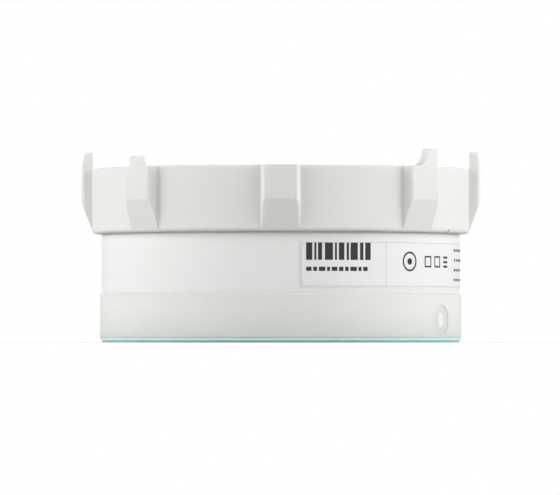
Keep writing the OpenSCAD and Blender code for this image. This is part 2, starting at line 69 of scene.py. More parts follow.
CORNER_CUTS = 8                # sides of a label's round corner
SMOOTH = 30                    # degrees below which the edges of a wrapped piece are shaded round
BUMP_DEPTH = 0.02 * MM         # how deep a surface's grain is
GLOW = {"Subsurface Weight": 0.3, "Subsurface Scale": 2 * MM, "Subsurface Radius": (1.0, 1.0, 1.0)}

CAP_OVERHANG = 2.3 * MM  # how far the cap's wall stands out over the housing
CAP_ROLL = 1.0 * MM      # rounding of the cap's lower edge
ROLL_FIT = 0.02 * MM     # how close to that rounding a facet's corners lie
CAP_BREAK = 0.3 * MM     # width of the cap's broken edges
NEAR_FOOT = 0.2 * MM     # the cap's wall is read from its vertices this close to its foot

BEAD_DROP = (0.4 * MM, 0.05 * MM)  # how far the shoulder bead's foot and top lie below the cap
BEAD_INSET = (0.9 * MM, 0.2 * MM)  # how far its inner and outer faces lie inside the housing's wall
PALE_AT = 0.7                      # the base has its top colour from this share of its height; below it, its greener tint and painted shade darken it towards the foot
TRACK_PITCH = 1.1 * MM             # from one board track to the next
COIL_PITCH = 0.6 * MM              # from one turn of the coil to the next
BARE_END = 0.44                    # radius of a cell's bare metal end, as a share of its thickness


def span(node, axis):
    """Lowest and highest place of a CAD node along an axis."""
    low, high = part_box(node)
    return low[axis], high[axis]


BASE_LOW = span("base_shell", 2)[0]
BODY_LOW = span("housing_body", 2)[0]
BODY_R = span("housing_body", 0)[1]
LABEL_LOW, LABEL_HIGH = span("type_label", 2)
CAP_LOW = span("closing_cap", 2)[0]
GASKET_TOP = span("cap_seal", 2)[1]
BOARD_R = span("main_board", 0)[1]
BOARD_TOP = span("processor", 2)[0]


def srgb(red, green, blue):
    """A colour given as 0 to 255 display values, as the linear values that shaders use."""
    return tuple(((c / 255 + 0.055) / 1.055) ** 2.4 for c in (red, green, blue))


# ---- Settings ----


def colour(name, what, *levels):
    """A colour setting, with its default as display values."""
    return FloatVectorProperty(name=name, description="Colour of the " + what, subtype="COLOR", default=srgb(*levels))


def number(name, about, default, unit="NONE"):
    """A number setting."""
    return FloatProperty(name=name, description=about, unit=unit, default=default)


def length(name, about, default):
    """A length setting."""
    return number(name, about, default, "LENGTH")


class SensorColours(PropertyGroup):
    """Colours of the plastics, the film and the print."""

    cap: colour("Cap", "closing cap", 225, 225, 222)
    housing: colour("Housing", "housing body", 233, 233, 231)
    base_top: colour("Base, top", "translucent base ring at its top", 230, 231, 227)
    # the foot colour is the plastic's greener tint together with painted shade: darker to stand in for less light
    # reaching the foot from below
    base_foot: colour("Base, foot", "translucent base ring at its foot", 213, 219, 213)
    liner: colour("Liner", "release liner", 140, 199, 207)
    foam: colour("Foam", "adhesive foam pad", 206, 230, 229)
    label: colour("Label", "type label", 230, 230, 229)
    ink: colour("Ink", "print on the label", 48, 45, 44)
    rule: colour("Rules", "thin lines on the label", 196, 196, 194)
    laminate: colour("Laminate", "circuit boards", 30, 104, 62)
    sleeve: colour("Cell sleeve", "cells' sleeves", 60, 128, 84)


class SensorLabel(PropertyGroup):
    """Sizes of the type label and its print."""

    thickness: length("Thickness", "Thickness of the foil", 0.1 * MM)
    corner: length("Corner", "Radius of the label's corners", 1.2 * MM)
    margin: length("Margin", "Distance of the border line from the edge", 0.25 * MM)
    line: length("Line", "Width of the border line", 0.14 * MM)
    ink_height: length("Ink height", "How far the print stands on the foil", 0.015 * MM)


class SensorThread(PropertyGroup):
    """Sizes of the screw thread between neck and cap."""

    starts: IntProperty(name="Starts", description="Number of thread starts", default=3)
    lead: length("Lead", "Rise for each full turn", 9 * MM)
    depth: length("Depth", "How far a rib stands out", 1.05 * MM)
    root: length("Root", "Width of a rib at its root", 1.7 * MM)
    crest: length("Crest", "Width of a rib at its crest", 0.7 * MM)
    turns: number("Turns", "How far round each rib runs, in turns", 0.82)


class SensorStage(PropertyGroup):
    """Camera, lamps and floor."""

    distance: length("Distance", "Distance of the camera from the housing's middle", 1.6)
    eye: length("Eye", "Height of the camera above the floor", 1.2 * MM)
    aim: length("Aim", "Height that the camera looks at", 23.4 * MM)
    aside: length("Aside", "How far the view is centred to the right", -0.16 * MM)
    lens: number("Lens", "Focal length in millimetres", 417.5)
    left: number("Left lamp", "Power of the left lamp in watts", 5.75)
    right: number("Right lamp", "Power of the right lamp in watts", 6.1)
    back: number("Back lamp", "Power of the back lamp in watts", 6.0)
    mirrored: number("Mirrored", "Brightness of the white surroundings in gloss", 0.5)
    room: number("Room", "Brightness of the room's even light", 0.05)


SETTINGS = {
    "sensor_colours": SensorColours,
    "sensor_label": SensorLabel,
    "sensor_thread": SensorThread,
    "sensor_stage": SensorStage,
}


# ---- Nodes ----


def new_node(tree, kind, inputs=(), **settings):
    """A node with its settings, and its inputs set by name or linked from a socket."""
    node = tree.nodes.new(kind)
    for key, value in settings.items():
        setattr(node, key, value)
    for key, value in dict(inputs).items():
        if isinstance(value, bpy.types.NodeSocket):
            tree.links.new(value, node.inputs[key])
        else:
            node.inputs[key].default_value = value
    return node


def node_group(name, tree_kind, inputs, outputs):
    """A node group and its inputs. Each socket is (name, kind) or (name, kind, default)."""
    group = bpy.data.node_groups.new(name, tree_kind)
    for direction, sockets in (("INPUT", inputs), ("OUTPUT", outputs)):
        for label, kind, *default in sockets:
            socket = group.interface.new_socket(label, in_out=direction, socket_type="NodeSocket" + kind)
            if default:
                socket.default_value = default[0]
    return group, new_node(group, "NodeGroupInput").outputs


def maths(tree, operation, *values):
    """The result of a Math node on sockets or numbers."""
    return new_node(tree, "ShaderNodeMath", dict(enumerate(values)), operation=operation).outputs[0]


def times(tree, first, second):
    """The product of two sockets or numbers."""
    return maths(tree, "MULTIPLY", first, second)


def vectors(tree, operation, *values):
    """The result of a Vector Math node on sockets or vectors."""
    node = new_node(tree, "ShaderNodeVectorMath", dict(enumerate(values)), operation=operation)
    return node.outputs["Value" if operation == "LENGTH" else "Vector"]


def xyz(tree, **values):
    """A vector made from sockets or numbers for X, Y and Z."""
    return new_node(tree, "ShaderNodeCombineXYZ", values).outputs[0]


def axes_of(tree, vector):
    """The X, Y and Z of a vector."""
    return new_node(tree, "ShaderNodeSeparateXYZ", {0: vector}).outputs


def object_place(tree):
    """Where a point of the surface lies on its object."""
    return new_node(tree, "ShaderNodeTexCoord").outputs["Object"]


def noise(tree, place, scale, detail):
    """Soft noise between 0 and 1."""
    return new_node(tree, "ShaderNodeTexNoise", {"Vector": place, "Scale": scale, "Detail": detail}).outputs["Fac"]


def ranged(tree, value, start=0.0, end=1.0, low=0.0, high=1.0, kind="LINEAR"):
    """A value taken from one range to another."""
    inputs = {"Value": value, "From Min": start, "From Max": end, "To Min": low, "To Max": high}
    return new_node(tree, "ShaderNodeMapRange", inputs, interpolation_type=kind).outputs["Result"]


def mixed(tree, factor, first, second):
    """A mix of two colours."""
    return new_node(tree, "ShaderNodeMix", {"Factor": factor, 6: first, 7: second}, data_type="RGBA").outputs[2]


def random(tree, kind, seed, inputs=()):
    """A random value for each point."""
    node = new_node(tree, "FunctionNodeRandomValue", {"Seed": seed, **dict(inputs)}, data_type=kind)
    return node.outputs[{"FLOAT": 1, "BOOLEAN": 3}[kind]]


def formed(tree, kind, inputs=(), **settings):
    """The first output of a Geometry Nodes node."""
    return new_node(tree, "GeometryNode" + kind, inputs, **settings).outputs[0]


def copies_on(tree, points, shape, **inputs):
    """Copies of a shape on points."""
    return formed(tree, "InstanceOnPoints", {"Points": points, "Instance": shape, **inputs})


def geometry_tree(name, values):
    """A Geometry Nodes tree with a named input for each value, and those inputs."""
    inputs = [("Geometry", "Geometry")]
    for key, value in values.items():
        kind = type(value).__name__.capitalize()
        inputs.append((key, kind) if kind in ("Material", "Collection") else (key, kind, value))
    return node_group(name, "GeometryNodeTree", inputs, [("Geometry", "Geometry")])


def finish_tree(tree, geometry, material):
    """End a tree with real geometry that has its material."""
    real = formed(tree, "RealizeInstances", {"Geometry": geometry})
    new_node(tree, "NodeGroupOutput", {0: formed(tree, "SetMaterial", {"Geometry": real, "Material": material})})
    return tree


# ---- Materials ----


def shader_group(name, inputs, outputs, build):
    """A shader node group, built when it is first asked for."""
    group = bpy.data.node_groups.get(name)
    if not group:
        group, given = node_group(name, "ShaderNodeTree", inputs, outputs)
        new_node(group, "NodeGroupOutput", build(group, given))
    return group


def skin_group(name, build, **scales):
    """A node group for a surface's colour, roughness and height, with some inputs of its own."""
    inputs = [("Colour", "Color", (0.8, 0.8, 0.8, 1)), ("Shade", "Color", (0.7, 0.7, 0.7, 1)),
              ("Roughness", "Float", 0.4)]
    inputs += [(key.replace("_", " "), "Float", value) for key, value in scales.items()]
    return shader_group(name, inputs, [("Colour", "Color"), ("Roughness", "Float"), ("Height", "Float")], build)


def moulded_skin():
    """Node group: the fine grain and faint unevenness of a moulded surface."""
    def build(group, given):
        place = object_place(group)
        cloud = noise(group, place, given["Cloud Scale"], 3.0)
        grain = noise(group, place, given["Grain Scale"], 2.0)
        spread = times(group, maths(group, "SUBTRACT", grain, 0.5), given["Roughness Spread"])
        return {"Colour": mixed(group, cloud, given["Colour"], given["Shade"]),
                "Roughness": maths(group, "ADD", given["Roughness"], spread), "Height": grain}

    return skin_group("moulded_skin", build, Cloud_Scale=60.0, Grain_Scale=4000.0, Roughness_Spread=0.08)


def brushed_skin():
    """Node group: fine parallel scratches of rolled or turned metal."""
    def build(group, given):
        drawn = new_node(group, "ShaderNodeMapping", {"Vector": object_place(group), "Scale": (0.03, 1.0, 1.0)})
        lines = noise(group, drawn.outputs[0], given["Scratch Scale"], 4.0)
        rough = maths(group, "ADD", given["Roughness"], times(group, lines, 0.2))
        return {"Colour": mixed(group, lines, given["Colour"], given["Shade"]), "Roughness": rough, "Height": lines}

    return skin_group("brushed_skin", build, Scratch_Scale=900.0)


def near_axis():
    """Node group: 1 within a reach of a line along X, and 0 outside it."""
    def build(group, given):
        away = vectors(group, "SUBTRACT", object_place(group), given["Middle"])
        across = vectors(group, "LENGTH", vectors(group, "MULTIPLY", away, (0, 1, 1)))
        return {"Mask": maths(group, "LESS_THAN", across, given["Reach"])}

    return shader_group("near_axis", [("Middle", "Vector"), ("Reach", "Float", MM)], [("Mask", "Float")], build)


def shaded(tone, factor=1.0):
    """A colour made lighter or darker, with full alpha."""
    return tuple(c * factor for c in tone[:3]) + (1.0,)


def plain_material(name, shader_values):
    """A material with one Principled shader, whose constant sockets are set directly."""
    material = bpy.data.materials.new(name)
    material.use_nodes = True
    shader = material.node_tree.nodes["Principled BSDF"]
    for key, value in shader_values.items():
        shader.inputs[key].default_value = value
    return material, shader


def skin_material(name, group, values, bump=0.0, **shader_values):
    """A material whose colour, roughness and bump come from one of the skin groups."""
    material, shader = plain_material(name, shader_values)
    tree = material.node_tree
    skin = new_node(tree, "ShaderNodeGroup", values, node_tree=group)
    tree.links.new(skin.outputs["Colour"], shader.inputs["Base Color"])
    tree.links.new(skin.outputs["Roughness"], shader.inputs["Roughness"])
    if bump:
        relief = new_node(tree, "ShaderNodeBump", {
            "Height": skin.outputs["Height"], "Strength": bump, "Distance": BUMP_DEPTH})
        tree.links.new(relief.outputs["Normal"], shader.inputs["Normal"])
    return material, skin, shader


def moulded_nodes(name, tone, shade=0.97, roughness=0.42, bump=0.25, grain=4000.0, **shader_values):
    """A moulded plastic or rubber: the material, its skin and its shader."""
    values = {"Colour": shaded(tone), "Shade": shaded(tone, shade), "Roughness": roughness, "Grain Scale": grain}
    return skin_material(name, moulded_skin(), values, bump, **shader_values)


def moulded(name, tone, **values):
    """A moulded plastic or rubber."""
    return moulded_nodes(name, tone, **values)[0]


def brushed(name, tone, roughness=0.32):
    """A rolled, turned or plated metal."""
    values = {"Colour": shaded(tone), "Shade": shaded(tone, 0.82), "Roughness": roughness}
    return skin_material(name, brushed_skin(), values, 0.15, Metallic=1.0)[0]


def painted(material, skin, shader, mask, tone, metallic=0.0):
    """Another colour, and metal if asked for, where the mask is 1."""
    tree = material.node_tree
    tree.links.new(mixed(tree, mask, skin.outputs["Colour"], shaded(tone)), shader.inputs["Base Color"])
    if metallic:
        tree.links.new(times(tree, mask, metallic), shader.inputs["Metallic"])
    return material


def give(**finishes):
    """Put a material on each of these CAD nodes in place of its plain one."""
    for node, material in finishes.items():
        mesh = NODES[node].data
        mesh.materials.clear()
        mesh.materials.append(material)


# ---- Meshes ----


def stand(name, mesh, material):
    """An object at the origin that shows a mesh."""
    mesh.materials.append(material)
    piece = bpy.data.objects.new(name, mesh)
    bpy.context.scene.collection.objects.link(piece)
    return piece


def new_piece(name, verts, faces, material, smooth_below=None):
    """A mesh object at the origin, with its place in its mesh."""
    mesh = bpy.data.meshes.new(name)
    mesh.from_pydata([tuple(v) for v in verts], [], faces)
    piece = stand(name, mesh, material)
    if smooth_below is not None:
        mesh.shade_smooth()
        mesh.set_sharp_from_angle(angle=math.radians(smooth_below))
    mesh.validate()
    return piece


def settle(piece):
    """Turn a piece's modifiers into plain mesh."""
    graph = bpy.context.evaluated_depsgraph_get()
    mesh = bpy.data.meshes.new_from_object(piece.evaluated_get(graph))
    piece.modifiers.clear()
    piece.data = mesh
    mesh.name = piece.name
    return piece


def grown(name, tree_name, build, values):
    """A plain mesh from a Geometry Nodes tree, which is built when it is first asked for."""
    tree = bpy.data.node_groups.get(tree_name) or build(*geometry_tree(tree_name, values))
    piece = new_piece(name, [], [], values["Material"])
    modifier = piece.modifiers.new(name, "NODES")
    modifier.node_group = tree
    for item in tree.interface.items_tree:
        if item.in_out == "INPUT" and item.name in values:
            modifier[item.identifier] = values[item.name]
    return settle(piece)


def softened(node, name, material, width, roll):
    """A copy of a CAD node with its facets joined and its sharp edges broken."""
    form = bmesh.new()
    form.from_mesh(NODES[node].data)
    bmesh.ops.remove_doubles(form, verts=form.verts, dist=MERGE)
    bmesh.ops.dissolve_degenerate(form, dist=SLIVER, edges=form.edges)
    bmesh.ops.dissolve_limit(form, angle_limit=LEVEL, verts=form.verts, edges=form.edges)
    sharp = form.edges.layers.float.new("bevel_weight_edge")
    for edge in form.edges:
        turn = edge.calc_face_angle(0.0)
        wide = min(face.calc_area() for face in edge.link_faces) > WIDE_FACE
        edge[sharp] = float(turn > SHARP_EDGE or (wide and turn > CREASE))
        edge.smooth = turn < SHARP_EDGE
    for face in form.faces:
        face.smooth = True
    mesh = bpy.data.meshes.new(name)
    form.to_mesh(mesh)
    form.free()
    piece = stand(name, mesh, material)
    bevel = piece.modifiers.new("Broken edges", "BEVEL")
    bevel.width = width
    bevel.segments = 3
    bevel.limit_method = "WEIGHT"
    settle(piece)
    even_normals(piece.data, *roll)
    return piece


def even_normals(mesh, roll_r, roll_z, rounding):
    """Shade wide flat faces flat, the round wall round, and the rolled edge round the circle at roll_r and roll_z
    as a true rounding. Other narrow faces blend into the wide ones."""
    def rolled_normal(place):
        radius = math.hypot(place.x, place.y)
        out, up = (radius - roll_r) / radius, place.z - roll_z
        return Vector((place.x * out, place.y * out, up)).normalized()

    def on_roll(place):
        out, up = math.hypot(place.x, place.y) - roll_r, place.z - roll_z
        return abs(math.hypot(out, up) - rounding) <= ROLL_FIT and out >= -ROLL_FIT and up <= ROLL_FIT

    places = [v.co for v in mesh.vertices]
    fixed = {}
    for face in mesh.polygons:
        if face.area < WIDE_FACE:
            continue
        radii = [Vector((places[v].x, places[v].y, 0)).normalized() for v in face.vertices]
        upright = all(abs(face.normal.dot(radius)) > math.cos(FACET) for radius in radii)
        for v, radius in zip(face.vertices, radii):
            normal = face.normal.copy()
            if upright:
                normal = radius if radius.dot(normal) > 0 else -radius
            fixed.setdefault(v, []).append((face.index, normal))
    normals = [corner.vector.copy() for corner in mesh.corner_normals]
    for face in mesh.polygons:
        rolled = (face.area <= WIDE_FACE and all(on_roll(places[v]) for v in face.vertices)
                  and face.normal.dot(rolled_normal(face.center)) > math.cos(SHARP_EDGE))
        for loop, v in zip(face.loop_indices, face.vertices):
            near = fixed.get(v, [])
            own = [normal for index, normal in near if index == face.index]
            others = [normal for index, normal in near if normal.dot(face.normal) > math.cos(SHARP_EDGE)]
            if rolled:
                normals[loop] = rolled_normal(places[v])
            elif own or others:
                normals[loop] = max(own or others, key=face.normal.dot)
    mesh.normals_split_custom_set(normals)


def band(rails, radii, closed=False):
    """Vertices and faces of a thin solid wrapped round the housing between two rails.

    rails holds two lists of (angle, height), and radii the inner and outer radius."""
    count = len(rails[0])
    verts = [(radius * math.sin(angle), -radius * math.cos(angle), height)
             for radius in radii for rail in rails for angle, height in rail]
    in_low, in_high, out_low, out_high = (count * i for i in range(4))
    faces = []
    for i in range(count if closed else count - 1):
        j = (i + 1) % count
        faces += [(out_low + i, out_low + j, out_high + j, out_high + i),
                  (in_low + j, in_low + i, in_high + i, in_high + j),
                  (in_low + i, in_low + j, out_low + j, out_low + i),
                  (in_high + j, in_high + i, out_high + i, out_high + j)]
    if not closed:
        last = count - 1
        faces += [(in_low, out_low, out_high, in_high),
                  (in_low + last, in_high + last, out_high + last, out_low + last)]
    return verts, faces


def block(low, high):
    """Vertices and faces of a box between two corners."""
    verts = [(x, y, z) for x in (low[0], high[0]) for y in (low[1], high[1]) for z in (low[2], high[2])]
    return verts, [(0, 1, 3, 2), (4, 6, 7, 5), (0, 4, 5, 1), (2, 3, 7, 6), (0, 2, 6, 4), (1, 5, 7, 3)]


def joined(parts):
    """Several (vertices, faces) pairs as one."""
    verts, faces = [], []
    for part_verts, part_faces in parts:
        start = len(verts)
        verts += part_verts
        faces += [tuple(start + i for i in face) for face in part_faces]
    return verts, faces


def angles_between(start, end):
    """Evenly spaced angles from start to end, fine enough to look round."""
    steps = max(1, math.ceil((end - start) / WRAP_STEP))
    return [start + (end - start) * i / steps for i in range(steps + 1)]


def level_rails(turn, low, high):
    """Two level rails at two heights."""
    return [(a, low) for a in turn], [(a, high) for a in turn]


def wrapped_box(radii, start, end, low, high):
    """A rectangle wrapped round the housing, between two angles and two heights."""
    return band(level_rails(angles_between(start, end), low, high), radii)


def wrapped_disc(radii, angle, height, outer, inner=MM * MM):
    """A disc or a ring wrapped on the housing."""
    turn = [math.tau * i / RING_CUTS for i in range(RING_CUTS)]
    rails = [[(angle + reach * math.sin(t) / radii[0], height + reach * math.cos(t)) for t in turn]
             for reach in (inner, outer)]
    return band(rails, radii, closed=True)


def rounded_rails(start, end, low, high, corner, radius):
    """Lower and upper rail of a rectangle with round corners."""
    turn = angles_between(start + corner / radius, end - corner / radius)
    bends = [(corner * (1 - math.cos(t)), low + corner * (1 - math.sin(t)))
             for t in (i * math.pi / (2 * CORNER_CUTS) for i in range(CORNER_CUTS))]
    lower = [(start + along / radius, height) for along, height in bends]
    lower += [(a, low) for a in turn]
    lower += [(end - along / radius, height) for along, height in bends[::-1]]
    upper = [(a, low + high - height) for a, height in lower]
    return lower, upper


# ---- Operators ----


class SENSOR_OT_cap(Operator):
    """Finish the closing cap: one moulding with softly broken edges"""

    bl_idname = "sensor.cap"
    bl_label = "Closing Cap"

    def execute(self, context):
        plastic = moulded("Cap plastic", context.scene.sensor_colours.cap, shade=0.985, roughness=0.46, **GLOW)
        roll = (BODY_R + CAP_OVERHANG - CAP_ROLL, CAP_LOW + CAP_ROLL, CAP_ROLL)
        cap = softened("closing_cap", "closing_cap_moulding", plastic, CAP_BREAK, roll)
        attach(cap, "cap")
        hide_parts("closing_cap")
        return {"FINISHED"}


class SENSOR_OT_housing(Operator):
    """Finish the housing body, with the bead on its shoulder under the cap"""

    bl_idname = "sensor.housing"
    bl_label = "Housing Body"

    def execute(self, context):
        plastic = moulded("Housing plastic", context.scene.sensor_colours.housing, shade=0.985, roughness=0.4, **GLOW)
        give(housing_body=plastic)
        rails = level_rails(angles_between(0, math.tau)[:-1], *(CAP_LOW - drop for drop in BEAD_DROP))
        ring = band(rails, [BODY_R - inset for inset in BEAD_INSET], closed=True)
        bead = new_piece("shoulder_bead", *ring, plastic, SMOOTH)
        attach(bead, "housing")
        return {"FINISHED"}


class SENSOR_OT_base(Operator):
    """Finish the translucent base ring, the vent, the foam pad and the release liner"""

    bl_idname = "sensor.base"
    bl_label = "Base and Underside"

    def execute(self, context):
        colours = context.scene.sensor_colours
        plastic = self.translucent(colours)
        rubber = moulded("Seal rubber", srgb(38, 38, 40), roughness=0.6)
        give(base_shell=plastic, vent_plug=plastic, vent_seal=rubber, base_seal=rubber,
             vent_membrane=moulded("Vent membrane", srgb(232, 232, 226), roughness=0.9, bump=0.6, grain=9000),
             adhesive_pad=moulded("Adhesive foam", colours.foam, shade=0.9, roughness=0.85, bump=0.8, grain=2500),
             release_liner=moulded("Release film", colours.liner, shade=0.94, roughness=0.22, bump=0.05))
        return {"FINISHED"}

    def translucent(self, colours):
        """Plastic that lets some light through, with its own greener tint towards its foot and painted shade that
        darkens the foot, standing in for less light from below.
        """
        material, skin, shader = skin_material(
            "Base plastic", moulded_skin(), {"Roughness": 0.38, "Grain Scale": 3000.0}, 0.2,
            **{"Subsurface Weight": 0.35, "Subsurface Scale": 4 * MM, "Subsurface Radius": (1.0, 1.0, 0.9)})
        tree = material.node_tree
        height = axes_of(tree, object_place(tree))["Z"]
        share = ranged(tree, height, BASE_LOW, BASE_LOW + PALE_AT * (BODY_LOW - BASE_LOW))
        # painted shade: mixing towards the foot colour darkens the lower base, along with its real greener tint
        for socket, factor in (("Colour", 1.0), ("Shade", 0.975)):
            tone = mixed(tree, share, shaded(colours.base_foot, factor), shaded(colours.base_top, factor))
            tree.links.new(tone, skin.inputs[socket])
        return material


# The label's print, in millimetres from its left and lower edges
PRINT_LEFT = 1.5
BARS = ((1.5, 0.5), (0.5, 0.4), (1.0, 0.7), (2.0, 0.5), (0.5, 0.5), (1.4, 0.6), (0.6, 0.4), (1.9, 0.6), (0.9, 0.5),
        (1.5, 0.0))    # width of each bar, and the gap after it
BAR_SPAN = (6.55, 10.7)
BLOCKS = [(width, 0.45) for width in (1.3, 0.9, 1.6, 0.7, 1.4, 1.1, 0.9, 1.7, 0.8, 1.2)]
BLOCK_SPAN = (3.9, 4.9)
DIVIDER = 22.4
RING_MIDDLE = (30.0, 6.3)
RING = (2.4, 1.95)     # outer and inner radius
DOT = 0.8
SQUARES = (35.6, 39.8)
SQUARE = 2.8
SQUARE_LINE = 0.4
SQUARE_LOW = 4.9
STACK = (44.4, 46.8)
STACK_LOWS = (4.9, 6.0, 7.1)
STACK_LINE = 0.55
ROWS_LEFT = 52.6
ROWS_TOP = 9.2
FOIL_SINK = 0.05 * MM  # how far the foil reaches into the housing
INK_SINK = 0.02 * MM   # how far the print reaches into the foil


class SENSOR_OT_label(Operator):
    """Make the foil label that wraps round the housing, with plain generic print"""

    bl_idname = "sensor.label"
    bl_label = "Type Label"

    def execute(self, context):
        colours = context.scene.sensor_colours
        sizes = context.scene.sensor_label
        low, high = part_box("type_label")
        self.start = math.atan2(low.x, -low.y)
        self.end = math.pi / 2 + math.atan2(high.y, math.sqrt(BODY_R ** 2 - high.y ** 2))
        self.radius = BODY_R + sizes.thickness
        foil = band(rounded_rails(self.start, self.end, LABEL_LOW, LABEL_HIGH, sizes.corner, BODY_R),
                    (BODY_R - FOIL_SINK, self.radius))
        paper = moulded("Label foil", colours.label, shade=0.99, roughness=0.34, bump=0.04)
        label = new_piece("label_foil", *foil, paper, SMOOTH)
        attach(label, "housing")
        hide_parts("type_label")

        self.layer = (self.radius - INK_SINK, self.radius + sizes.ink_height)
        ink = moulded("Label ink", colours.ink, shade=0.9, roughness=0.5, bump=0.1)
        grey = moulded("Label rule", colours.rule, shade=0.97, roughness=0.45, bump=0.1)
        pieces = [new_piece("label_print", *joined(self.marks() + self.signs()), ink, SMOOTH),
                  new_piece("label_rules", *joined(self.rules(sizes)), grey, SMOOTH),
                  grown("label_rows", "print_rows", self.dashes, self.rows(sizes, ink))]
        for piece in pieces:
            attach(piece, "housing")
        return {"FINISHED"}

    def turn(self, along):
        """The angle at a distance along the label, in millimetres from its left edge."""
        return self.start + along * MM / self.radius

    def block(self, left, right, low, high):
        """A filled rectangle of print."""
        return wrapped_box(self.layer, self.turn(left), self.turn(right), LABEL_LOW + low * MM, LABEL_LOW + high * MM)

    def hollow(self, left, low, side, line):
        """The outline of a square."""
        right, high = left + side, low + side
        return [self.block(left, right, low, low + line), self.block(left, right, high - line, high),
                self.block(left, left + line, low + line, high - line),
                self.block(right - line, right, low + line, high - line)]

    def marks(self):
        """Bars and blocks in the first field."""
        parts = []
        for row, heights in ((BARS, BAR_SPAN), (BLOCKS, BLOCK_SPAN)):
            left = PRINT_LEFT
            for width, gap in row:
                parts.append(self.block(left, left + width, *heights))
                left += width + gap
        return parts

    def signs(self):
        """Plain signs in the second field: a ring with a dot, two hollow squares and a short stack of bars."""
        middle, height = self.turn(RING_MIDDLE[0]), LABEL_LOW + RING_MIDDLE[1] * MM
        outer, inner = RING
        parts = [wrapped_disc(self.layer, middle, height, outer * MM, inner * MM),
                 wrapped_disc(self.layer, middle, height, DOT * MM)]
        for left in SQUARES:
            parts += self.hollow(left, SQUARE_LOW, SQUARE, SQUARE_LINE)
        for low in STACK_LOWS:
            parts.append(self.block(*STACK, low, low + STACK_LINE))
        return parts

    def rules(self, sizes):
        """The thin border and the divider."""
        rails = []
        for inset in (sizes.margin, sizes.margin + sizes.line):
            aside = inset / self.radius
            low, high = rounded_rails(self.start + aside, self.end - aside, LABEL_LOW + inset, LABEL_HIGH - inset,
                                      sizes.corner - inset, self.radius)
            rails.append(low + high[::-1])
        divider = self.turn(DIVIDER)
        return [band(rails, self.layer, closed=True),
                wrapped_box(self.layer, divider, divider + sizes.line / self.radius,
                            LABEL_LOW + sizes.margin, LABEL_HIGH - sizes.margin)]

    def rows(self, sizes, ink):
        """Settings of the rows of dashes that fill the last field."""
        return {"Rows": 4, "Dashes": 15, "Radius": self.radius, "Start Angle": self.turn(ROWS_LEFT),
                "Angle Step": 2.1 * MM / self.radius, "Top": LABEL_LOW + ROWS_TOP * MM, "Row Step": 2.4 * MM,
                "Width": 1.8 * MM, "Height": 0.6 * MM, "Ink Height": sizes.ink_height, "Share": 0.86,
                "Narrowest": 0.55, "Seed": 4, "Material": ink}

    def dashes(self, tree, given):
        """Rows of dashes of uneven width, laid round the housing, with a gap here and there."""
        count = times(tree, given["Rows"], given["Dashes"])
        index = formed(tree, "InputIndex")
        column = maths(tree, "MODULO", index, given["Dashes"])
        row = maths(tree, "FLOOR", maths(tree, "DIVIDE", index, given["Dashes"]))
        angle = maths(tree, "MULTIPLY_ADD", column, given["Angle Step"], given["Start Angle"])
        height = maths(tree, "SUBTRACT", given["Top"], times(tree, row, given["Row Step"]))
        out = times(tree, given["Radius"], maths(tree, "SINE", angle))
        back = times(tree, given["Radius"], times(tree, maths(tree, "COSINE", angle), -1.0))
        points = formed(tree, "Points", {"Count": count, "Position": xyz(tree, X=out, Y=back, Z=height)})
        keep = random(tree, "BOOLEAN", given["Seed"], {"Probability": given["Share"]})
        width = random(tree, "FLOAT", given["Seed"], {2: given["Narrowest"], 3: 1.0})
        depth = maths(tree, "MULTIPLY_ADD", given["Ink Height"], 2.0, INK_SINK)
        size = xyz(tree, X=given["Width"], Y=depth, Z=given["Height"])
        dash = formed(tree, "MeshCube", {"Size": size})
        scale = xyz(tree, X=width, Y=1.0, Z=1.0)
        dashes = copies_on(tree, points, dash, Selection=keep, Rotation=xyz(tree, Z=angle), Scale=scale)
        return finish_tree(tree, dashes, given["Material"])


